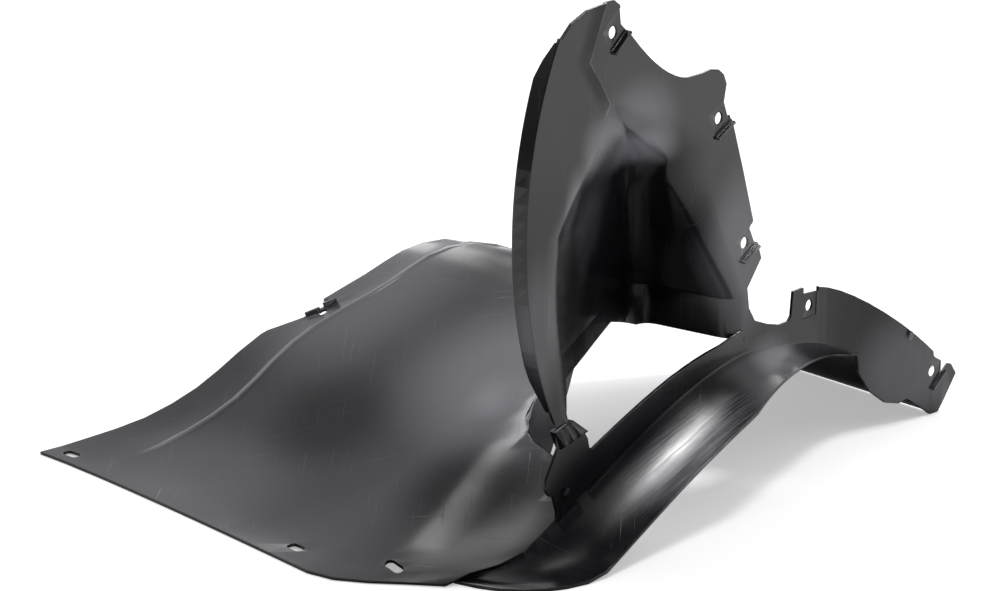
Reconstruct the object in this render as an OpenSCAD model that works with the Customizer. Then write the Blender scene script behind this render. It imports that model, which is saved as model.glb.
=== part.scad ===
// Wheel arch liner: one moulded black plastic sheet, bent into several faces.
// Millimetres, Z up. The floor is Z = 0, the flat outer cheek is the plane X = 0,
// and Y = 0 is the crest of the wheel arch.

/* [Sheet] */
// thickness of the moulded sheet
sheet_t = 2.5; // [2.2:0.1:3]

/* [Wheel arch] */
// radius of the arch at the fold beside the wheel lip
arch_r = 345; // [330:1:360]
// height of the arch crest at the cheek
crest_z = 109; // [100:1:118]
// how much higher the deck crest is away from the cheek
crest_rise = 38; // [25:1:45]
// distance over which the deck climbs to that height
rise_run = 90; // [70:5:120]

/* [Deck] */
// width of the deck at its front corner
deck_w = 488; // [460:1:520]
// width of the deck at the crest
crest_w = 333; // [310:1:350]
// width of the deck at its far end
end_w = 150; // [130:1:160]
// distance of the front corner ahead of the crest
front_len = 350; // [330:1:370]
// distance of the front notch ahead of the crest
notch_len = 340; // [325:1:350]
// sideways place of the front notch
notch_x = 31; // [24:1:40]
// how far the long free edge draws in above its clip hole
edge_bow = 14; // [0:1:20]
// distance of the far end behind the crest, at the cheek
end_len = 243; // [236:1:248]
// how much further back the far end lies per unit of width
end_slant = 0.15; // [0:0.01:0.2]
// how far the front edge bulges ahead
bulge = 57; // [30:1:64]
// sideways place of the bulge
bulge_x = 125; // [120:1:150]
// share of round arch in the deck profile beside the cheek
round_share = 0.55; // [0.4:0.05:0.7]

/* [Moulded bead] */
// distance of the bead from the free edge at the crest
bead_in = 32; // [26:1:40]
// extra distance of the bead at its front end
bead_spread = 38; // [25:1:45]
// half width of the bead
bead_w = 7; // [5:0.5:9]
// height of the bead
bead_h = 2.5; // [1.5:0.1:3.5]
// drop of the edge strip outside the bead
edge_drop = 2.5; // [1:0.5:5]
// extra drop of that strip at its clip hole
tab_drop = 2.5; // [1:0.5:5]

/* [Lip band] */
// width of the lip band
lip_w = 53; // [42:1:58]
// drop of the lip band at its outer edge, in front
lip_drop = 27; // [20:1:30]
// how much smaller that drop is past the crest
lip_less = 6; // [3:1:9]
// sag of the lip band between its edges
lip_sag = 6; // [2:0.5:9]
// how far past the crest the lip band ends
lip_end = 155; // [140:1:165]

/* [Cheek and end plate] */
// height of the wall between fold and opening
wall_h = 21; // [19:0.5:30]
// sideways sweep of the end plate at its tip
flare = 40; // [25:1:50]
// where the sweep of the end plate starts past the crest
flare_y = 105; // [95:1:120]
// distance over which the end plate sweeps out
flare_run = 150; // [135:5:170]
// height of the end plate at its inner end
plate_z = 146; // [142:1:152]
// tip of the end plate past the crest
tip_y = 270; // [264:1:275]
// height of the end plate tip
tip_z = 30; // [26:1:36]

/* [Tower] */
// radius of the rounded front rim of the tower
rim_r = 330; // [310:1:350]
// front-most place of that rim ahead of the crest
rim_y = 291; // [285:1:296]
// height of the centre of that rim
rim_z = 262; // [254:1:268]
// height of the tower
tower_z = 436; // [425:1:446]
// depth of the turned-back flange along the rim
flange_d = 14; // [10:1:18]
// width of the front strip between rim and pocket, at its widest
strip_w = 33; // [29:1:36]
// depth of the pocket
pocket_d = 105; // [95:1:108]
// place of the pocket's back wall ahead of the crest
pocket_y = 20; // [14:1:26]
// height of the foot of the pocket's back wall
pocket_z = 124; // [121:1:128]
// height of the parting line, above which the pocket's back edge leans
pocket_full = 158; // [150:1:165]
// height of the top of the pocket's deep corner
roof_low = 286; // [278:1:292]
// depth of the pocket there
roof_d = 42; // [34:1:48]
// height where the roof runs out beside the back wall
roof_right = 300; // [296:1:310]
// height of the roof's tip at the front strip
roof_tip = 356; // [348:1:364]
// lean of the pocket's back edge, sideways per unit of height
pocket_lean = 0.7; // [0.65:0.01:0.76]
// height of the step along the strip's upper edge
step_h = 2.5; // [1:0.5:4]

/* [Fixing points] */
// radius of the round clip holes
clip_r = 5; // [4:0.25:5.5]
// width of the slots in the front edge
slot_w = 8.5; // [7:0.5:9]
// length of the slots in the front edge
slot_l = 18; // [16:0.5:20]
// raised rib beside each clip hole, height above the sheet
tab_rib_h = 3; // [2:0.5:4]
// raised rib beside each clip hole, length
tab_rib_l = 24; // [20:1:26]
// depth of the shallow seat round each clip hole
seat_d = 0.8; // [0.4:0.1:1]
// side of the shallow seat round each clip hole
seat_w = 17; // [15:1:18]

/* [Hidden] */
$fn = 32;
// height of the arch centre, below the floor
axis_z = crest_z - arch_r;
// where a true circle of the arch radius would come down to the floor
round_y = sqrt(arch_r * arch_r - axis_z * axis_z);
// how deep one part of the sheet is sunk into its neighbour
bite = sheet_t / 2;

function held(t) = min(max(t, 0), 1);
function ease(t) = let (c = held(t)) c * c * (3 - 2 * c);
function mix(a, b, t) = a + (b - a) * t;
function curve(a, b, c, t) = mix(mix(a, b, t), mix(b, c, t), t);
function hump(d) = abs(d) < 1 ? pow(cos(90 * d), 2) : 0;
function steps(n) = [for (i = [0:n]) i / n];

// Plan lines of the deck

// reach of the front bulge towards the corner and towards the notch
bulge_left = 360;
bulge_right = 130;
// how much the long side of the bulge hollows
bulge_hollow = 1.2;

function front_y(x) =
  mix(-front_len, -notch_len, held((x + deck_w) / (deck_w - notch_x)))
  - bulge * (x < -bulge_x
    ? pow(held(1 + (x + bulge_x) / bulge_left), bulge_hollow)
    : hump((x + bulge_x) / bulge_right));

// shallow wave of the free edge: how deep, and the places of its outer and inner swing
edge_sag = 8;
edge_out = -326;
edge_in = -230;
edge_wave = 62;
// place and half length of the drawn-in waist
edge_waist = -92;
edge_waist_run = 72;

function end_y(x) = end_len - end_slant * x;
function left_x(y) = y < 0
  ? mix(-deck_w, -crest_w, 1 + y / front_len)
    + edge_sag * (hump((y - edge_in) / edge_wave) - hump((y - edge_out) / edge_wave))
    + edge_bow * hump((y - edge_waist) / edge_waist_run)
  : mix(-crest_w, -end_w, y / end_y(-end_w));

// length of the slanting seam from the notch to the cheek
seam_run = 59;

function sweep(y) = flare * ease((y - flare_y) / flare_run);
function right_x(y) = y < seam_run - notch_len
  ? mix(-notch_x, -bite, ease((y + notch_len) / seam_run))
  : sweep(y) - bite;

// Heights of the deck

// distance from the cheek over which its rounder profile fades out
round_run = 200;
// where the extra height of the deck has gone again behind the crest, and over what distance
fall_end = 115;
fall_run = 125;

function crest(x, y) = crest_z + crest_rise * ease(-x / rise_run) * ease((fall_end - y) / fall_run);
function rise(x, y) =
  let (u = held(1 - y / front_y(x)), k = round_share * ease(1 + x / round_run))
  mix(ease(u), sin(90 * u), k);
function plain_z(x, y) = y < 0
  ? crest(x, y) * rise(x, y)
  : let (d = min(y / end_y(x), 1) * round_y)
    crest(x, y) * (sqrt(arch_r * arch_r - d * d) + axis_z) / crest_z;

// the bead starts here and is full height one fade length further on
bead_start = -312;
bead_fade = 50;

function bead_off(y) = bead_in + bead_spread * pow(min(y, 0) / bead_start, 2);
function bead_on(x, y) = ease((y - bead_start) / bead_fade) * ease((end_y(x) - y) / bead_fade);
// middle and half length of the extra drop
tab_mid = -132;
tab_run = 36;

function bead_z(x, y) =
  let (d = (x - left_x(y) - bead_off(y)) / bead_w, e = (x - left_x(y)) / (bead_off(y) - bead_w))
  bead_on(x, y) * (bead_h * hump(d) - edge_drop * (1 - ease((d + 1) / 2)))
  - tab_drop * hump((y - tab_mid) / tab_run) * ease(1 - e);
function fold_z(y) = plain_z(0, y);
function top(x, y) = sheet_t + plain_z(x, y) + bead_z(x, y);

// A closed sheet from rows of points: the outer face and its copy one thickness inwards

function outward(g, i, j) =
  let (
    ni = len(g[0]) - 1, nj = len(g) - 1,
    a = g[j][min(i + 1, ni)] - g[j][max(i - 1, 0)],
    b = g[min(j + 1, nj)][i] - g[max(j - 1, 0)][i],
    c = cross(a, b))
  c / norm(c);

function two(a, b, c, d) = [[a, c, b], [a, d, c]];

module sheet(g, t = sheet_t) {
  ni = len(g[0]) - 1;
  nj = len(g) - 1;
  w = ni + 1;
  n = w * (nj + 1);
  outer = [for (row = g) each row];
  inner = [for (j = [0:nj]) for (i = [0:ni]) g[j][i] - t * outward(g, i, j)];
  faces = [
    for (j = [0:nj - 1]) for (i = [0:ni - 1]) let (p = j * w + i)
      each concat(two(p, p + 1, p + 1 + w, p + w), two(n + p, n + p + w, n + p + 1 + w, n + p + 1)),
    for (i = [0:ni - 1]) let (p = i, q = nj * w + i)
      each concat(two(n + p, n + p + 1, p + 1, p), two(q, q + 1, n + q + 1, n + q)),
    for (j = [0:nj - 1]) let (p = j * w, q = j * w + ni)
      each concat(two(p, p + w, n + p + w, n + p), two(n + q, n + q + w, q + w, q))];
  polyhedron(concat(outer, inner), faces, convexity = 8);
}

// a prism along X over an outline drawn in the side view
module side_prism(outline, x0, x1)
  translate([x0, 0, 0]) rotate([90, 0, 90]) linear_extrude(x1 - x0, convexity = 6) polygon(outline);

// The deck: front apron, S-shaped climb and the arch behind the crest

deck_rows = 30;
deck_cols = 15;

function deck_xs(v) =
  let (
    yl = mix(-front_len, end_y(-end_w), v), yr = mix(-notch_len, end_y(flare), v),
    a = left_x(yl), b = right_x(yr), c = a + bead_off(yl))
  concat([a, mix(a, c - bead_w, 0.5)], [for (k = [-1, -0.5, 0, 0.5]) c + bead_w * k],
    [for (s = steps(deck_cols)) mix(c + bead_w, b, s)]);

function deck_row(v) =
  let (xs = deck_xs(v), a = xs[0], b = xs[len(xs) - 1])
  [for (x = xs)
    let (s = (x - a) / (b - a), y = mix(front_y(mix(-deck_w, -notch_x, s)), end_y(mix(-end_w, flare, s)), v))
    [x, y, top(x, y)]];

module deck() sheet([for (v = steps(deck_rows)) deck_row(v)]);

// Window in the deck, beside the foot of the tower

window_front = -207;
window_left = 82;
window_back_left = 106;
window_corner = 14;
window_back = -pocket_y - 4.5;
window_reach = 22;

module window() {
  translate([0, 0, -1])
  linear_extrude(2 * arch_r)
  offset(window_corner) offset(delta = -window_corner)
  polygon([
    [-bite, window_front], [-window_left + 18, window_front], [-window_left, window_front + 14],
    [-mix(window_left, window_back_left, 0.4), -150], [-window_back_left, window_back],
    [-0.6 * pocket_d, window_back + 2], [-0.3 * pocket_d, window_reach], [-bite, window_reach]]);
}

// shallow notch in the free edge, at its clip hole
edge_notch = 13;
edge_notch_y = [-160, -117];

module free_edge_notch() {
  y0 = edge_notch_y[0];
  y1 = edge_notch_y[1];
  translate([0, 0, -1])
  linear_extrude(arch_r)
  polygon([
    [left_x(y0) - deck_w / 10, y0 - 10], [left_x(y0) + 0.5, y0], [left_x(y0 + 20) + edge_notch, y0 + 20],
    [left_x(y1) + edge_notch, y1], [left_x(y1) - deck_w / 10, y1]]);
}

// turned-down wall along the front left corner of the window
skirt_deep = 66;
skirt_path = [[-40, -207], [-62, -207], [-72, -203], [-79, -195], [-83, -184], [-88, -168], [-91.6, -150],
  [-94, -130], [-96, -112]];

module skirt() {
  n = len(skirt_path) - 1;
  sheet([for (k = [0, 0.5, 1]) [for (i = [0:n])
    let (p = skirt_path[i], z = plain_z(p[0], p[1]) + bite)
    [p[0], p[1], z - k * min(z - sheet_t, skirt_deep * mix(0.2, 1, min(1, (n - i) / 2)))]]]);
}

// The lip band outside the fold

// share of the band's length that rounds the front end
lip_turn = 0.17;
// the band keeps its full width until this far before its end
lip_taper = 215;
// length over which the drop lessens before the crest
lip_fade = 130;
lip_rows = 40;
lip_cols = 5;
// plan points of the rounded front end of the band
lip_nose = [44, -332];
lip_side = -258;

function lip_share(y) = pow(held((lip_end - y) / lip_taper), 0.9);
function lip_fall(y) = (lip_drop - lip_less * ease(1 + y / lip_fade)) * sqrt(lip_share(y));
function lip_edge(q) = q < lip_turn
  ? curve([-notch_x, -notch_len], lip_nose, [lip_w, lip_side], q / lip_turn)
  : let (y = mix(lip_side, lip_end, (q - lip_turn) / (1 - lip_turn))) [sweep(y) + lip_w * lip_share(y), y];
function lip_point(q, s) =
  let (
    yi = mix(-notch_len, lip_end, q), xi = right_x(yi) - bite / 2, zi = plain_z(xi, yi),
    e = lip_edge(q), share = lip_share(e[1]),
    ze = max(fold_z(e[1]) - lip_fall(e[1]), 0) * ease(q / lip_turn))
  [mix(xi, e[0], s), mix(yi, e[1], s),
   sheet_t + max(mix(zi - bite / 3, ze, s) - lip_sag * share * sin(180 * s), 0)];

module lip() sheet([for (q = steps(lip_rows)) [for (s = steps(lip_cols)) lip_point(q, s)]]);

// The side sheet: ear, wall under the opening, neck and end plate in one outline

wall_front = -208;
wall_back = -38;
// the wall is this much higher at the ear and lower at the neck
wall_more = 6;
neck_z = 122;
plate_y = 66;
plate_depth = 76;
// the side sheet lies this far behind the face of the tower, so the two never share a plane
set_back = 0.15;

function wall_top(y) =
  [y, fold_z(y) + sheet_t + wall_h + wall_more * (1 - 2 * held((y - wall_front) / (wall_back - wall_front)))];

ear = [[-252, 40], [-257, 55], [-262, 56], [-266, 62], [-265, 71], [-249, 96], [-219, 98], [-214, 91],
  [-212, 83]];

// clip hole centres: [y, z] in the side view, then the angle of the rib beside it
tab_1 = [-187, 411, 37];
tab_2 = [-47, 318, 25];
tab_3 = [-7, 205, 25];
tab_4 = [91, 128, 90];
tab_5 = [234, 40, 33];

plate_end = [
  [plate_y - 2, neck_z + 3], [plate_y, plate_z], [plate_y + 15, plate_z],
  [plate_y + 16, plate_z - 6], [plate_y + 38, plate_z - 8], [plate_y + 38, plate_z - 4]];
plate_crest = [for (t = steps(8))
  curve([plate_y + 40, plate_z - 5], [157, 131], [tip_y - 36, tip_z + 29], t)];
// small lug on the end plate's upper edge
lug = [206, 79];
lug_r = 4;
plate_tip = [
  [tip_y - 35, tip_z + 24], [tip_y - 13, tip_z + 12], [tip_y - 9, tip_z + 11], [tip_y, tip_z],
  [tip_y - 27, 0], [tip_y - 37, 0], [209, 18], [205, 20], [197, 17], [184, 20], [168, 33], [156, 52]];

module side_sheet() {
  outline = concat(
    ear,
    [for (t = steps(10)) wall_top(mix(wall_front, wall_back, t))],
    [[0, neck_z + 9], [30, neck_z + 4], [48, neck_z - 1], [60, neck_z - 1]],
    plate_end, plate_crest, plate_tip,
    [for (t = steps(20)) let (y = mix(lip_end - 2, ear[0][0], t)) [y, fold_z(y) + bite / 3]]);
  ys = concat([ear[3][0] - 4, flare_y], [for (y = [flare_y + 12:12:tip_y + 12]) y]);
  intersection() {
    sheet([for (z = [-4, tower_z / 2]) [for (y = ys) [sweep(y) - set_back, y, z]]]);
    side_prism(outline, -2 * sheet_t, flare + sheet_t);
  }
}

// The tower: front strip, pocket and the flank with the clip holes

// reach of the pocket's rounded bends: at the strip, in its deep corner and at the roof
strip_turn = 12;
corner_turn = 16;
roof_turn = 12;
// reach of the bend between back wall and flank, at its foot and at the roof
flank_turn = 16;
flank_turn_high = 42;
foot_z = 106;
// height of the free lower edge of the pocket's left wall
pocket_hem = 145;
// lowest place of the tower's upper edge
dip = [-90, 359];

// the front strip is this much narrower at the foot
strip_narrow = 15;
// above this height the strip's inner edge runs straight to the tip of the roof
strip_top = 262;
// places on that edge: at the tip of the roof, at the knee above it, and at the top
tip_in = -190;
knee = [-218, 393];
strip_end = -198;
// the pocket's deep corner lies this far ahead of its back wall
corner_in = 7;
// the strip swells towards the step over this width
step_run = 16;

function rim(z) = rim_r - rim_y - sqrt(rim_r * rim_r - pow(z - rim_z, 2));
function strip_y(z) = z < strip_top
  ? rim(z) + strip_w - strip_narrow * held((strip_top - z) / (strip_top - foot_z))
  : z < roof_tip ? mix(rim(strip_top) + strip_w, tip_in, (z - strip_top) / (roof_tip - strip_top))
  : z < knee[1] ? mix(tip_in, knee[0], (z - roof_tip) / (knee[1] - roof_tip))
  : mix(knee[0], strip_end, (z - knee[1]) / (tower_z - knee[1]));
function flank_y(z) = z < roof_right
  ? -pocket_y - pocket_lean * max(z - pocket_full, 0)
  : mix(flank_y(roof_right - 0.001), tip_in, (z - roof_right) / (roof_tip - roof_right));

// how fast the roof flattens towards its tip
roof_fade = 1.6;
// the roof runs out this much further back than the flank's bend, a change spread over this height
roof_wide = 24;
roof_run = 40;

// the deep corner, which leans out so that the sheet comes off its mould, then the roof's left edge and
// its lower edge, at a given height
corner_foot = [-pocket_d, -pocket_y - corner_in];
corner_head = [-roof_d, flank_y(roof_low)];
function corner(z) = mix(corner_foot, corner_head, held((z - pocket_full) / (roof_low - pocket_full)));
function left_edge(z) = let (t = held((z - roof_low) / (roof_tip - roof_low)))
  [corner(z)[0] * pow(1 - t, roof_fade), mix(corner(z)[1], tip_in, t)];
function low_edge(z) = z < roof_right
  ? mix(corner(z), [0, flank_y(roof_right)], held((z - roof_low) / (roof_right - roof_low)))
  : [0, flank_y(z)];
function flank_reach(z) =
  mix(flank_turn, flank_turn_high, held((z - pocket_full) / (roof_right - pocket_full)));

// a bend of the sheet, rounded between the two neighbouring faces
function bend(a, b, c, r, n = 4) =
  let (
    ra = min(r, norm(a - b) * 0.45), rc = min(r, norm(c - b) * 0.45),
    p = b + ra * (a - b) / max(norm(a - b), 0.01), q = b + rc * (c - b) / max(norm(c - b), 0.01))
  [for (t = steps(n)) curve(p, b, q, t)];

// a point a set distance from one place towards another, and never past the middle
function toward(a, b, far) = a + (b - a) * min(0.45, far / max(norm(b - a), 0.01));

// the least distance kept between the bends of one row
apart = 4;
// below the parting line the pocket's walls stand this much further out
ledge = 0.8;
// half the height over which the ledge turns
ledge_turn = 0.4;
// the parting line climbs this much towards the strip, and how far above and below it the rows follow
part_climb = 8;
part_reach = 55;

function climb(y, z) = part_climb * held((corner_foot[1] - y) / (rim_y - strip_w + corner_foot[1]))
  * held(1 - abs(z - pocket_full) / part_reach);

function tower_row(z) =
  let (
    swell = step_h * ease((z - roof_tip + 10) / 30),
    a = [0, rim(z) - 3], b = [0, strip_y(z)], e = [0, 40],
    u = held((z - roof_low) / (roof_right - roof_low)),
    wide = roof_wide * ease((z - roof_low + roof_run / 2) / roof_run),
    d = [0, max(flank_y(z) + wide, b[1] + 3 * apart) - (z < pocket_full ? ledge : 0)],
    step_in = z < pocket_full ? ledge * [1, -1] : [0, 0],
    near = toward(left_edge(z), b, corner_turn * (1 - 0.8 * u)) + step_in,
    far = mix(toward(low_edge(z), d, corner_turn * (1 - 0.8 * u)), near, 0.5 * u) + step_in,
    open = z < roof_tip - 3,
    p = open ? near : [0, b[1] + apart], q = open ? far : [0, b[1] + 2 * apart])
  [for (c = concat(
      [a, a + [0, 1] * max((b[1] - a[1]) * 0.3, 2)],
      z < roof_tip ? bend(a, b, p, strip_turn)
        : [[0, b[1] - step_run], [swell * 0.4, b[1] - step_run * 0.5], [swell, b[1] - 1], [swell, b[1]],
          [0, b[1] + 1]],
      [mix(b, p, 0.5)], bend(b, p, q, roof_turn), [mix(p, q, 0.5)],
      bend(p, q, d, roof_turn), [mix(q, d, 0.5)], bend(q, d, e, flank_reach(z), 7), [mix(d, e, 0.5), e]))
    [c[0], c[1], z + climb(c[1], z)]];

// the tower's head in the side view: [y, distance below the top]
head = [[-250, 20], [-238, 10], [-219, 3], [-198, 0], [-186, 0], [-179, 5], [-177, 20], [-171, 25],
  [-167, 28]];

tower_right = concat(
  [for (p = head) [p[0], tower_z - p[1]]],
  [for (t = steps(8)) curve([-163, tower_z - 32], [-123, 364], dip, t)],
  [for (t = steps(4)) curve([-72, 359], [-43, 365], [-38, 345], t)],
  [[-41, 332], [-34, 316], [-32, 318], [-28, 311], [-12, 268], [4, 222], [0, 216], [7, 203], [11, 202],
   [17, 187], [-2, 165], [1, 147], [10, 134], [30, neck_z + 4]]);

module tower() {
  outline = concat(
    [for (t = steps(24)) let (z = mix(foot_z, tower_z - 19, t)) [rim(z) + bite / 3, z]],
    tower_right,
    [[30, neck_z - 2], [-15, neck_z - 2], [-16, pocket_z], [-26, pocket_z], [-33, pocket_z - 2],
     [-91, pocket_hem - 3], [-236, pocket_hem], [-240, foot_z + 12], [-236, foot_z]]);
  zs = concat([for (t = steps(3)) mix(foot_z - 6, pocket_full - 12, t)],
    [pocket_full - ledge_turn, pocket_full + ledge_turn],
    [for (t = steps(10)) mix(pocket_full + 12, roof_low, t)],
    [for (t = steps(2)) if (t > 0) mix(roof_low, roof_right, t)],
    [for (t = steps(5)) if (t > 0) mix(roof_right, roof_tip, t)],
    [for (t = steps(4)) if (t > 0) mix(roof_tip, knee[1], t)],
    [for (t = steps(4)) if (t > 0) mix(knee[1], tower_z + 6, t)]);
  intersection() {
    sheet([for (z = zs) tower_row(z)]);
    side_prism(outline, -2 * pocket_d, sheet_t);
  }
}

// The flange turned back along the front rim of the tower

flange_foot = 124;
flange_head = tower_z - 22;

module flange() {
  sheet([for (t = steps(22))
    let (z = mix(flange_foot, flange_head, t), d = flange_d * min(1, 0.35 + 6 * t, 0.25 + 10 * (1 - t)))
    [for (s = [0, 1]) [-set_back - d * (1 - s), rim(z), z]]]);
}

// The ribbed band that joins the foot of the tower to the ear

band_t = 4.5;
band = [[-258, 108], [-235, 112], [-216, 98], [-250, 92]];

// height of its ribs, their half width as a share of the band, and how far their ends stop short
band_rib_h = 1.2;
band_rib = 0.07;
band_stop = 0.06;

module foot_band() {
  side_prism(band, -sheet_t - 0.9, band_t - sheet_t);
  for (t = [0.22, 0.5, 0.78])
    side_prism([for (k = [[-1, 0], [1, 0], [1, 1], [-1, 1]])
      mix(mix(band[0], band[1], t + k[0] * band_rib), mix(band[3], band[2], t + k[0] * band_rib),
        mix(band_stop, 1 - band_stop, k[1]))], 0.3, band_t - sheet_t + band_rib_h);
}

// the round head that pins the ear
boss = [-242, 53];
boss_r = 4.5;

module plate_lug()
  translate([sweep(lug[0]) - sheet_t, lug[0], lug[1]]) rotate([0, 90, 0])
  cylinder(r = lug_r, h = sheet_t + 1);

module ear_boss() translate([-bite, boss[0], boss[1]]) rotate([0, 90, 0]) cylinder(r = boss_r, h = bite + 2);

// Ribs and shallow seats at the clip holes

tab_off = 13;

module tab_rib(p)
  translate([sweep(p[0]) - bite, p[0], p[1]]) rotate([p[2], 0, 0])
  translate([0, -tab_rib_l / 2 + 2, -tab_off - 1.2]) cube([bite + tab_rib_h, tab_rib_l, 2.4]);

module tab_seat(p)
  translate([sweep(p[0]) - seat_d, p[0], p[1]]) rotate([p[2], 0, 0])
  translate([0, -seat_w / 2 - 2, -seat_w / 2 - 2]) cube([2 * sheet_t, 2 * seat_w, seat_w + 3]);

module clip_hole(p)
  translate([sweep(p[0]) - 3 * sheet_t, p[0], p[1]]) rotate([0, 90, 0]) cylinder(r = clip_r, h = 6 * sheet_t);

// Slots in the front edge, and the hole in the long free edge

// each slot: sideways place, distance in from the front edge, turn
slots = [[22 - deck_w, 13, 0], [-168, 20, -9], [-76, 22, -9]];
slot_cut = 60;
// the hole's place along the free edge, its distance in from it, and its radius
edge_hole_y = -131;
edge_hole_in = 22;
edge_hole_r = 4;

module slot(p)
  translate([p[0], front_y(p[0]) + p[1], -1]) rotate([0, 0, p[2]]) {
    reach = (slot_l - slot_w) / 2;
    for (side = [-1, 1]) translate([side * reach, 0, 0]) cylinder(r = slot_w / 2, h = slot_cut);
    translate([-reach, -slot_w / 2, 0]) cube([2 * reach, slot_w, slot_cut]);
  }

// two short ribs on the free edge, one at each side of its hole: place along it, length and turn
edge_ribs = [[-138, 14, 40], [-125, 13, 40]];
edge_rib_h = 3.5;
edge_rib_t = 3;

module edge_rib(p) {
  a = [left_x(p[0]) + edge_notch + 1, p[0]];
  b = a + p[1] * [cos(p[2]), sin(p[2])];
  slope = atan((top(b[0], b[1]) - top(a[0], a[1])) / p[1]);
  translate([a[0], a[1], top(a[0], a[1]) - bite]) rotate([0, -slope, p[2]])
  translate([0, -edge_rib_t / 2, 0]) cube([p[1], edge_rib_t, edge_rib_h + bite]);
}

module liner() {
  color("#26242a")
  difference() {
    // this zero resize keeps the true size and makes one closed skin of the bent faces
    resize([0, 0, 0]) difference() {
      union() {
        difference() {
          deck();
          window();
          free_edge_notch();
        }
        skirt();
        lip();
        side_sheet();
        tower();
        flange();
        foot_band();
        ear_boss();
        plate_lug();
        for (p = [tab_1, tab_2, tab_3, tab_5]) tab_rib(p);
        for (p = edge_ribs) edge_rib(p);
      }
      for (p = [tab_1, tab_2, tab_3, tab_4, tab_5]) tab_seat(p);
    }
    for (p = [tab_1, tab_2, tab_3, tab_4, tab_5]) clip_hole(p);
    for (p = slots) slot(p);
    translate([left_x(edge_hole_y) + edge_hole_in, edge_hole_y, 0]) cylinder(r = edge_hole_r, h = arch_r);
  }
}

liner();
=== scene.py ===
import math
import bpy
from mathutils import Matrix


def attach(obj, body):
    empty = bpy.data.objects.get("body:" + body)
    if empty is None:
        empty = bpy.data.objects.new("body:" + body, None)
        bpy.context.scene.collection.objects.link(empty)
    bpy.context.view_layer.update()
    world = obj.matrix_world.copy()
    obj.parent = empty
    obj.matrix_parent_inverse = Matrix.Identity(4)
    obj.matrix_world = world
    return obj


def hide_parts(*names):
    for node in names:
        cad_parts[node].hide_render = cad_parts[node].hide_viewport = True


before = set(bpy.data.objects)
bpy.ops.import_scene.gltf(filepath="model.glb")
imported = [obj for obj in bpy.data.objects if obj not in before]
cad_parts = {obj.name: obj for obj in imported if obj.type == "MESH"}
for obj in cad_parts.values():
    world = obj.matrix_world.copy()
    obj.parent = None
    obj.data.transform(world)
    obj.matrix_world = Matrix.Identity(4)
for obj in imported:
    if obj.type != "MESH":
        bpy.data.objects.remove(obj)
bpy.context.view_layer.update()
print("frame loaded:", sorted(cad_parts))


def srgb(hexColour):  # a swatch colour, turned to the linear values that Blender wants
    values = [int(hexColour[i:i + 2], 16) / 255 for i in (1, 3, 5)]
    return tuple(v / 12.92 if v <= 0.04045 else ((v + 0.055) / 1.055) ** 2.4 for v in values) + (1.0,)


def addNode(owner, kind, place, settings=None, links=None):  # one node, its settings, and what feeds it
    node = owner.node_tree.nodes.new(kind)
    node.location = place
    for name, value in (settings or {}).items():
        if isinstance(name, int) or name in node.inputs:
            node.inputs[name].default_value = value
        else:
            setattr(node, name, value)
    for name, source in (links or {}).items():
        if isinstance(source, (int, float)):
            node.inputs[name].default_value = source
        else:
            owner.node_tree.links.new(source, node.inputs[name])
    return node


def newMaterial(name):
    material = bpy.data.materials.new(name)
    material.use_nodes = True
    material.node_tree.nodes.clear()
    return material


def setRamp(node, stops):  # a two-stop ramp: (place, grey) for each
    for element, (place, grey) in zip(node.color_ramp.elements, stops):
        element.position = place
        element.color = (grey, grey, grey, 1)


def makeActive(thing):
    for other in list(bpy.context.selected_objects):
        other.select_set(False)
    thing.select_set(True)
    bpy.context.view_layer.objects.active = thing


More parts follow.
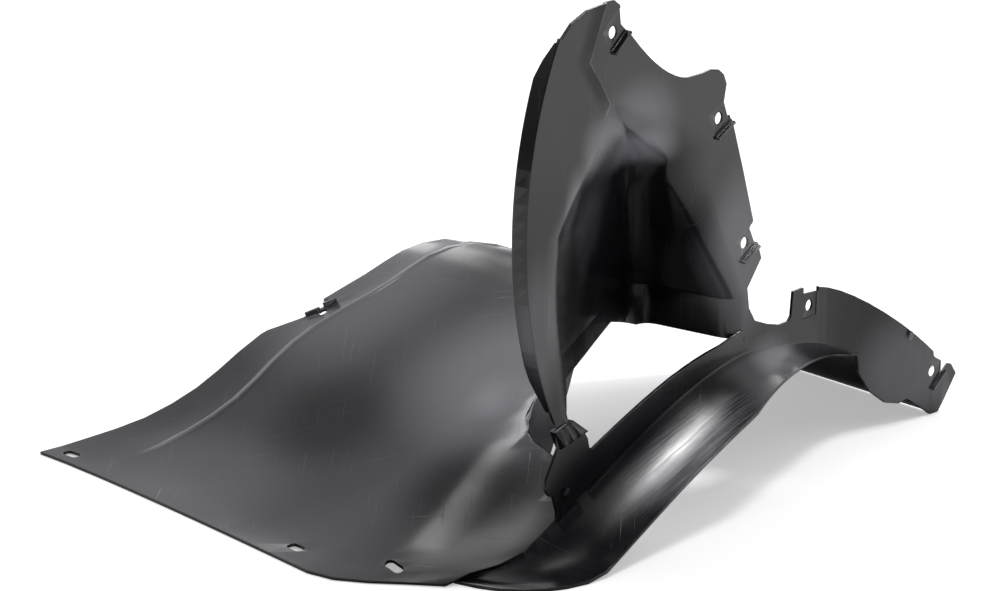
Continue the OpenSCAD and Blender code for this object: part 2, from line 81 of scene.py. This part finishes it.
plasticLook = {
    "colour": "#0c0b0e",          # near black, a touch of purple
    "bloomColour": "#17161a",     # greyer where the surface has dried out
    "dustColour": "#77757c",      # dry dust
    "wearAndHighlightColour": "#8f8d95",       # pale colour of wear and scratches, and of the painted highlights and sheen
    "roughness": 0.21,            # satin, from a polished tool
    "roughSpread": 0.12,          # how much flow and handling change it
    "gloss": 0.5,                 # specular level where no zone below changes it
    "rimRadius": 0.0012,          # rounding of moulded edges, 1.2 mm, so that they catch the light
    "grainMm": 1.1,               # real grain is near 0.2 mm, drawn coarser so that it shows
    "grainDepth": 0.00002,
    "patchMm": 120.0,             # size of the places where dust gathers
    "flowMm": 75.0,               # slow change of gloss where the melt flowed
    "waveMm": 55.0,               # slight unevenness of a thin moulded sheet
    "waveDepth": 0.00035,
    "speckMm": 4.5,               # one dust speck in some of these cells
    "dustSpeck": [(0.03, 1.0), (0.10, 0.0)],
    "dustPatch": [(0.48, 0.0), (0.72, 0.7)],
    "scratchMm": (0.8, 60.0),     # width and length of a stray scratch, width drawn coarser than real
    "brushMm": (0.8, 45.0),       # the same for the brushed wear along the lip band
    # marks: turn in degrees, shift, two stops and detail of the noise
    "strays": [
        (35, 0.0, [(0.79, 0.0), (0.86, 1.0)], 0.0),
        (118, 3.1, [(0.80, 0.0), (0.87, 1.0)], 0.0),
    ],
    "brushing": (-4, 1.7, [(0.42, 0.0), (0.72, 1.0)], 3.0),
    "wearAndSheenWhite": 0.55,             # how pale the lip band's wear and painted highlight, the deck's painted sheen, a scratch and the painted highlight along the bead are
    "strayWhite": 0.11,
    "beadHighlightWhite": 0.95,
    "wearAndSheenRough": 0.16,             # the band's wear and the deck's painted sheen are duller by this much
    "cutDepth": 0.00004,          # depth of scratches and brushing
    # painted light and shade zones, fitted to the photograph's greys from its own camera: middle and reach in
    # millimetres, specular level, low for painted shade and high for painted highlight, and pale haze, a
    # painted highlight in the colour. They stand in for light and shade that the lamps don't give here, and
    # aren't known wear or finish. With an empty list the moulded material is the same all over.
    "paintedLightZones": [
        ((-125, -160, 102), (150, 145, 80), 1.0, 0.34),    # deck beside the tower
        ((-350, -100, 110), (135, 150, 90), 1.0, 0.18),    # upper edge of the deck
        ((-330, -310, 10), (130, 80, 60), 0.8, 0.04),      # front apron
        ((-262, -231, 51), (85, 85, 50), 0.25, 0.0),       # middle of the deck
        ((-230, -20, 150), (95, 65, 60), 0.05, 0.0),       # crest
        ((-82, -270, 42), (76, 80, 48), 0.22, 0.0),        # apron beside the lip band
        ((-50, -90, 210), (54, 200, 100), 0.20, 0.0),      # deep part of the pocket
        ((-26, -64, 185), (50, 66, 100), 0.08, 0.0),       # right side of the pocket
        ((-75, -75, 165), (60, 110, 55), 0.05, 0.0),       # foot of the pocket
        ((-10, -150, 65), (30, 95, 60), 0.0, 0.0),         # wall under the window
        ((-8, -222, 58), (26, 70, 62), 0.10, 0.0),         # ear
        ((-8, -152, 328), (60, 62, 52), 1.0, 0.30),        # above the roof of the pocket
        ((-14, -132, 307), (32, 46, 28), 1.0, 0.62),       # roof of the pocket
        ((0, -16, 195), (40, 60, 95), 1.0, 0.30),          # flank
        ((-3, -203, 322), (20, 28, 36), 1.0, 0.20),        # bend between the strip and the pocket, its top
        ((-5, -230, 282), (18, 18, 42), 1.0, 0.28),        # the same, its middle
        ((-28, -180, 255), (30, 46, 55), 1.0, 0.10),       # left wall of the pocket
        ((0, -276, 188), (24, 34, 80), 1.0, 0.12),         # foot of the front strip
        ((30, 200, 45), (60, 75, 75), 1.0, 0.22),          # swept plate
        ((20, -262, 14), (45, 102, 55), 0.04, 0.0),        # front end of the lip band
        ((20, -60, 90), (40, 42, 30), 0.10, 0.0),          # lip band behind the window
        ((38, -138, 56), (32, 78, 50), 1.0, 0.40),         # middle of the lip band
        ((18, 28, 98), (40, 45, 30), 1.0, 0.42),           # back end of the lip band
    ],
    # places, middle and reach in millimetres: brushed wear on the lip band, which shows in the photograph and
    # is partly a painted highlight, and a painted sheen on the deck beside the tower; rubbed places, middle
    # and reach in millimetres: the band's shows in the photograph, the deck's is a guess
    "bandWearAndHighlight": ((38, -120, 68), (38, 120, 72)),
    "deckSheen": ((-100, -185, 92), (60, 75, 45)),
}


def softZone(owner, place, centre, reach, at):  # 1 in the middle of a place, 0 outside it
    near = addNode(owner, "ShaderNodeMapping", at,
                   {"vector_type": "TEXTURE", "Location": [v / 1000 for v in centre],
                    "Scale": [v / 1000 for v in reach]}, {"Vector": place})
    far = addNode(owner, "ShaderNodeVectorMath", (at[0] + 200, at[1]), {"operation": "LENGTH"},
                  {0: near.outputs["Vector"]})
    return addNode(owner, "ShaderNodeMapRange", (at[0] + 400, at[1]),
                   {"interpolation_type": "SMOOTHSTEP", "From Min": 1.0, "From Max": 0.25},
                   {"Value": far.outputs["Value"]}).outputs["Result"]


def streaks(owner, place, sizeMm, mark, at):  # marks that run one way over the sheet
    turn, shift, stops, detail = mark
    width, length = (mm / 1000 for mm in sizeMm)
    laid = addNode(owner, "ShaderNodeMapping", at,
                   {"vector_type": "TEXTURE", "Location": (shift, shift, 0),
                    "Rotation": (0, 0, math.radians(turn)), "Scale": (width, length, length)},
                   {"Vector": place})
    marks = addNode(owner, "ShaderNodeTexNoise", (at[0] + 200, at[1]), {"Scale": 1.0, "Detail": detail},
                    {"Vector": laid.outputs["Vector"]})
    thin = addNode(owner, "ShaderNodeValToRGB", (at[0] + 400, at[1]), {}, {"Fac": marks.outputs["Fac"]})
    setRamp(thin, stops)
    return thin.outputs["Color"]


def combine(owner, operation, first, second, at):  # one sum of two values or links
    node = addNode(owner, "ShaderNodeMath", at, {"operation": operation}, {0: first, 1: second})
    return node.outputs["Value"]


def mouldedPolypropylene(look):
    # polypropylene off a polished tool: near black and satin, with stray scratches, a brushed lip that is
    # partly a painted highlight, dust, a painted sheen on the deck, and painted light and shade in zones
    material = newMaterial("Polypropylene moulded black")
    place = addNode(material, "ShaderNodeTexCoord", (-2300, 0)).outputs["Object"]
    flow = addNode(material, "ShaderNodeTexNoise", (-1500, 600),
                   {"Scale": 1000 / look["flowMm"], "Detail": 3.0, "Roughness": 0.55}, {"Vector": place})
    grain = addNode(material, "ShaderNodeTexNoise", (-1500, 350),
                    {"Scale": 1000 / look["grainMm"], "Detail": 1.0}, {"Vector": place})
    wave = addNode(material, "ShaderNodeTexNoise", (-1500, 850),
                   {"Scale": 1000 / look["waveMm"], "Detail": 0.0}, {"Vector": place})
    cells = addNode(material, "ShaderNodeTexVoronoi", (-1500, 100),
                    {"Scale": 1000 / look["speckMm"]}, {"Vector": place})
    specks = addNode(material, "ShaderNodeValToRGB", (-1200, 100), {}, {"Fac": cells.outputs["Distance"]})
    setRamp(specks, look["dustSpeck"])
    patches = addNode(material, "ShaderNodeTexNoise", (-1500, -150),
                      {"Scale": 1000 / look["patchMm"], "Detail": 2.0}, {"Vector": place})
    dusty = addNode(material, "ShaderNodeValToRGB", (-1200, -150), {}, {"Fac": patches.outputs["Fac"]})
    setRamp(dusty, look["dustPatch"])
    dust = combine(material, "MULTIPLY", specks.outputs["Color"], dusty.outputs["Color"], (-900, 0))

    strays = [streaks(material, place, look["scratchMm"], mark, (-2000, -400 - 300 * turn))
              for turn, mark in enumerate(look["strays"])]
    stray = combine(material, "MAXIMUM", *strays, (-900, -500))
    # brushed wear along the lip band, partly a painted highlight, and a painted sheen on the deck beside the
    # tower
    bandZone = softZone(material, place, *look["bandWearAndHighlight"], (-2000, -1000))
    deckSheenZone = softZone(material, place, *look["deckSheen"], (-2000, -1300))
    brushed = streaks(material, place, look["brushMm"], look["brushing"], (-2000, -1600))
    bandWearAndHighlight = combine(material, "MULTIPLY", bandZone, brushed, (-900, -1000))
    deckPaintedSheen = combine(material, "MULTIPLY", deckSheenZone, dusty.outputs["Color"], (-900, -1250))
    wearAndSheen = combine(material, "MAXIMUM", bandWearAndHighlight, deckPaintedSheen, (-700, -1100))

    # a painted highlight along the bead, read from the mesh's beadCrest attribute
    beadHighlightMask = addNode(material, "ShaderNodeAttribute", (-1200, -1750), {"attribute_name": "beadCrest"})
    body = addNode(material, "ShaderNodeMix", (-600, 400),
                   {"data_type": "RGBA", 6: srgb(look["colour"]), 7: srgb(look["bloomColour"])},
                   {0: flow.outputs["Fac"]})
    dusted = addNode(material, "ShaderNodeMix", (-400, 400),
                     {"data_type": "RGBA", 7: srgb(look["dustColour"])}, {0: dust, 6: body.outputs[2]})
    wearAndPaintedHighlights = combine(material, "MAXIMUM",
                       combine(material, "MULTIPLY", wearAndSheen, look["wearAndSheenWhite"], (-500, -900)),
                       combine(material, "MULTIPLY", stray, look["strayWhite"], (-500, -600)), (-300, -700))
    gloss = addNode(material, "ShaderNodeValue", (-900, -1800)).outputs["Value"]
    gloss.default_value = look["gloss"]
    # painted light and shade: each zone sets the specular level, low for shade and high for highlight, and its
    # haze adds a painted highlight to the colour
    for turn, (centre, reach, level, paintedSheen) in enumerate(look["paintedLightZones"]):
        row = -1900 - 300 * turn
        zone = softZone(material, place, centre, reach, (-2000, row))
        gloss = addNode(material, "ShaderNodeMix", (-1200, row), {3: level}, {0: zone, 2: gloss}).outputs[0]
        if paintedSheen:
            paintedHighlight = combine(material, "MULTIPLY", zone, paintedSheen, (-1000, row))
            wearAndPaintedHighlights = combine(material, "ADD", wearAndPaintedHighlights, paintedHighlight, (-800, row))
    paintedBeadHighlight = combine(material, "MULTIPLY", beadHighlightMask.outputs["Fac"], look["beadHighlightWhite"], (-800, -1750))
    wearAndPaintedHighlights = combine(material, "MAXIMUM", wearAndPaintedHighlights, paintedBeadHighlight, (-600, -1750))
    colour = addNode(material, "ShaderNodeMix", (-200, 400),
                     {"data_type": "RGBA", 7: srgb(look["wearAndHighlightColour"])}, {0: wearAndPaintedHighlights, 6: dusted.outputs[2]})
    rough = addNode(material, "ShaderNodeMapRange", (-600, 150),
                    {"From Min": 0.3, "From Max": 0.7, "To Min": look["roughness"] - look["roughSpread"] / 2,
                     "To Max": look["roughness"] + look["roughSpread"] / 2}, {"Value": flow.outputs["Fac"]})
    rubbed = addNode(material, "ShaderNodeMath", (-200, 150),
                     {"operation": "MULTIPLY_ADD", 1: look["wearAndSheenRough"]}, {0: wearAndSheen, 2: rough.outputs["Result"]})
    rim = addNode(material, "ShaderNodeBevel", (-900, -1600), {"samples": 6, "Radius": look["rimRadius"]})
    uneven = addNode(material, "ShaderNodeBump", (-700, -1600),
                     {"Strength": 1.0, "Distance": look["waveDepth"]},
                     {"Height": wave.outputs["Fac"], "Normal": rim.outputs["Normal"]})
    fine = addNode(material, "ShaderNodeBump", (-500, -1600), {"Strength": 1.0, "Distance": look["grainDepth"]},
                   {"Height": grain.outputs["Fac"], "Normal": uneven.outputs["Normal"]})
    cuts = combine(material, "MAXIMUM", stray, wearAndSheen, (-500, -1300))
    cut = addNode(material, "ShaderNodeBump", (-300, -1600), {"Strength": 1.0, "Distance": look["cutDepth"]},
                  {"Height": cuts, "Normal": fine.outputs["Normal"]})
    shader = addNode(material, "ShaderNodeBsdfPrincipled", (0, 200), {"IOR": 1.5},
                     {"Base Color": colour.outputs[2], "Roughness": rubbed.outputs["Value"],
                      "Specular IOR Level": gloss, "Normal": cut.outputs["Normal"]})
    addNode(material, "ShaderNodeOutputMaterial", (300, 200), {}, {"Surface": shader.outputs["BSDF"]})
    return material


plastic = mouldedPolypropylene(plasticLook)
print("material ready:", plastic.name)

# the liner, one moulded sheet
linerSkin = {
    "weld": 0.00001,              # loose triangles are joined at their corners
    "cheekFacing": 0.9999,        # the outer cheek's triangles face +X at least this squarely
    "cheekNear": 0.0002,          # and lie this near to its plane, in metres
    "flatAngle": 0.25,            # they become one face, so that it shades flat
    "creaseAngle": 28,            # flatter bends than this shade as one smooth surface
    "normalWeight": 95,           # how much large faces lead the shading
    # painted highlight along the bead, in millimetres: its half width, its run along Y, and the free edge and
    # the bead's distance from it as the source has them
    "crestWidth": 4.0,
    "crestRun": (-308, -4),
    "edgeAtCrest": -333,
    "edgeAtFront": -488,
    "frontLength": 350,
    "sag": (8, -230, -326, 62),   # height, inner and outer middle, half length
    "bow": (14, -92, 72),         # height, middle, half length
    "beadIn": 32,
    "beadSpread": 38,
    "beadStart": -312,
}

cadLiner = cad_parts["liner"]
liner = cadLiner.copy()
liner.data = cadLiner.data.copy()
liner.name = "linerShell"
bpy.context.scene.collection.objects.link(liner)
makeActive(liner)
bpy.ops.object.mode_set(mode="EDIT")
bpy.ops.mesh.select_all(action="SELECT")
bpy.ops.mesh.remove_doubles(threshold=linerSkin["weld"])
bpy.ops.mesh.select_all(action="DESELECT")
bpy.ops.object.mode_set(mode="OBJECT")
bpy.context.tool_settings.mesh_select_mode = (False, False, True)
for face in liner.data.polygons:  # the flat outer cheek
    face.select = face.normal.x > linerSkin["cheekFacing"] and abs(face.center.x) < linerSkin["cheekNear"]
bpy.ops.object.mode_set(mode="EDIT")
bpy.ops.mesh.dissolve_limited(angle_limit=math.radians(linerSkin["flatAngle"]))
bpy.ops.object.mode_set(mode="OBJECT")
bpy.ops.object.shade_smooth_by_angle(angle=math.radians(linerSkin["creaseAngle"]))
evenNormals = liner.modifiers.new("evenNormals", "WEIGHTED_NORMAL")  # so that thin faces don't smear
evenNormals.keep_sharp = True
evenNormals.weight = linerSkin["normalWeight"]


def hump(d):  # 1 at 0, falling softly to 0 at 1
    return math.cos(math.pi / 2 * d) ** 2 if abs(d) < 1 else 0


def beadMiddle(skin, y):  # where the middle of the moulded bead lies across the deck, in millimetres
    sag, sagIn, sagOut, sagRun = skin["sag"]
    bow, bowMiddle, bowRun = skin["bow"]
    forward = max(-y, 0)
    edge = skin["edgeAtCrest"] + (skin["edgeAtFront"] - skin["edgeAtCrest"]) * forward / skin["frontLength"]
    edge += sag * (hump((y - sagIn) / sagRun) - hump((y - sagOut) / sagRun))
    edge += bow * hump((y - bowMiddle) / bowRun)
    return edge + skin["beadIn"] + skin["beadSpread"] * (forward / skin["beadStart"]) ** 2


# a pale line along the bead, 1 on it and 0 beside it: it stands in for the light on the bead's crest, and
# isn't known wear
crest = liner.data.attributes.new("beadCrest", "FLOAT", "POINT")
for corner, paintedHighlight in zip(liner.data.vertices, crest.data):
    x, y, z = (1000 * v for v in corner.co)
    onBead = linerSkin["crestRun"][0] < y < linerSkin["crestRun"][1] and corner.normal.z > 0.5
    paintedHighlight.value = max(1 - abs(x - beadMiddle(linerSkin, y)) / linerSkin["crestWidth"], 0) if onBead else 0
liner.data.materials.clear()
liner.data.materials.append(plastic)
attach(liner, "root")
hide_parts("liner")
print("liner skinned:", len(liner.data.polygons), "faces")

# studio: white sweep, a bright wall behind and to the left, dimmer room behind the camera
studio = {
    "floorSize": 60.0,
    "floorColour": "#f2f2f2",
    # glow near the part and far from it, and the distances in metres: what the camera sees, so that the
    # sweep shows white, and what the gloss mirrors, which is darker near the part than the camera's
    "seenLift": (0.42, 0.60, 0.6, 3.0),
    "mirroredLift": (0.0, 0.60, 0.45, 1.5),
    "worldColour": "#fbfbff",
    "brightSide": (-0.60, 0.74, 0.30),   # towards the white wall that the gloss picks up
    # the gloss mirrors a change between these two levels, and only the camera sees plain white
    "dimLevel": 0.08,             # light from behind the camera
    "brightLevel": 0.92,          # light from the white wall
    "wallEdge": (-0.35, 0.65),    # how soft the change is between the two
    # camera of the photograph: place in metres, turn in degrees, lens and sensor in millimetres
    "cameraPlace": (1.374, -1.959, 0.887),
    "cameraTurn": (73, 0, 40),
    "cameraLens": 108,
    "cameraSensor": 36,
    # name, place, aimed at, size, power in watts
    "lamps": [
        ("lampOverBand", (0.15, 0.75, 2.4), (0.03, -0.13, 0.06), (0.4, 0.7), 22),
        ("lampOverDeck", (-1.10, 0.05, 2.4), (-0.12, -0.2, 0.1), (0.4, 0.5), 4),
        ("lampBackLeft", (-1.9, 2.3, 1.7), (-0.2, -0.1, 0.1), (1.6, 0.8), 14),
    ],
}

bpy.ops.mesh.primitive_plane_add(size=studio["floorSize"], location=(0, 0, 0))
floor = bpy.context.object
floor.name = "studioFloor"
paper = newMaterial("Paper backdrop matt white")
away = addNode(paper, "ShaderNodeVectorMath", (-800, 200), {"operation": "LENGTH"},
               {0: addNode(paper, "ShaderNodeTexCoord", (-1000, 200)).outputs["Object"]})


def paperGlow(lift, rays, row):  # a glow that grows with distance, for these rays alone
    low, high, start, end = lift
    grown = addNode(paper, "ShaderNodeMapRange", (-600, row),
                    {"interpolation_type": "SMOOTHSTEP", "From Min": start, "From Max": end, "To Min": low,
                     "To Max": high}, {"Value": away.outputs["Value"]})
    return combine(paper, "MULTIPLY", grown.outputs["Result"], rays, (-400, row))


path = addNode(paper, "ShaderNodeLightPath", (-1000, -200)).outputs
mirrorRays = combine(paper, "MAXIMUM", path["Is Glossy Ray"], path["Is Transmission Ray"], (-800, -200))
glow = combine(paper, "MAXIMUM", paperGlow(studio["seenLift"], path["Is Camera Ray"], 200),
               paperGlow(studio["mirroredLift"], mirrorRays, -100), (-200, -200))
paperShader = addNode(paper, "ShaderNodeBsdfPrincipled", (0, 0),
                      {"Base Color": srgb(studio["floorColour"]), "Roughness": 0.9, "Specular IOR Level": 0.1,
                       "Emission Color": srgb("#ffffff")}, {"Emission Strength": glow})
addNode(paper, "ShaderNodeOutputMaterial", (300, 0), {}, {"Surface": paperShader.outputs["BSDF"]})
floor.data.materials.append(paper)

world = bpy.data.worlds.new("studioAir")
world.use_nodes = True
world.node_tree.nodes.clear()
facing = addNode(world, "ShaderNodeVectorMath", (-700, 0),
                 {"operation": "DOT_PRODUCT", 1: studio["brightSide"]},
                 {0: addNode(world, "ShaderNodeTexCoord", (-900, 0)).outputs["Generated"]})
level = addNode(world, "ShaderNodeMapRange", (-500, 0),
                {"interpolation_type": "SMOOTHSTEP", "From Min": studio["wallEdge"][0],
                 "From Max": studio["wallEdge"][1], "To Min": studio["dimLevel"],
                 "To Max": studio["brightLevel"]}, {"Value": facing.outputs["Value"]})
strength = addNode(world, "ShaderNodeMath", (-250, 0), {"operation": "MAXIMUM"},
                   {0: level.outputs["Result"],
                    1: addNode(world, "ShaderNodeLightPath", (-500, -300)).outputs["Is Camera Ray"]})
air = addNode(world, "ShaderNodeBackground", (0, 0), {"Color": srgb(studio["worldColour"])},
              {"Strength": strength.outputs["Value"]})
addNode(world, "ShaderNodeOutputWorld", (200, 0), {}, {"Surface": air.outputs["Background"]})
bpy.context.scene.world = world


def aim(thing, target):  # turns a lamp so that it looks at a point
    x, y, z = (t - p for t, p in zip(target, thing.location))
    thing.rotation_euler = (math.atan2(math.hypot(x, y), -z), 0, math.atan2(y, x) - math.pi / 2)


for name, place, target, (sizeX, sizeY), power in studio["lamps"]:
    lampData = bpy.data.lights.new(name, "AREA")
    lampData.shape = "RECTANGLE"
    lampData.size, lampData.size_y, lampData.energy = sizeX, sizeY, power
    lamp = bpy.data.objects.new(name, lampData)
    lamp.location = place
    bpy.context.scene.collection.objects.link(lamp)
    aim(lamp, target)

cameraData = bpy.data.cameras.new("photoCamera")
cameraData.lens, cameraData.sensor_width = studio["cameraLens"], studio["cameraSensor"]
camera = bpy.data.objects.new("photoCamera", cameraData)
camera.location = studio["cameraPlace"]
camera.rotation_euler = [math.radians(turn) for turn in studio["cameraTurn"]]
bpy.context.scene.collection.objects.link(camera)
bpy.context.scene.camera = camera
bpy.context.scene.view_settings.view_transform = "Standard"
print("studio ready")
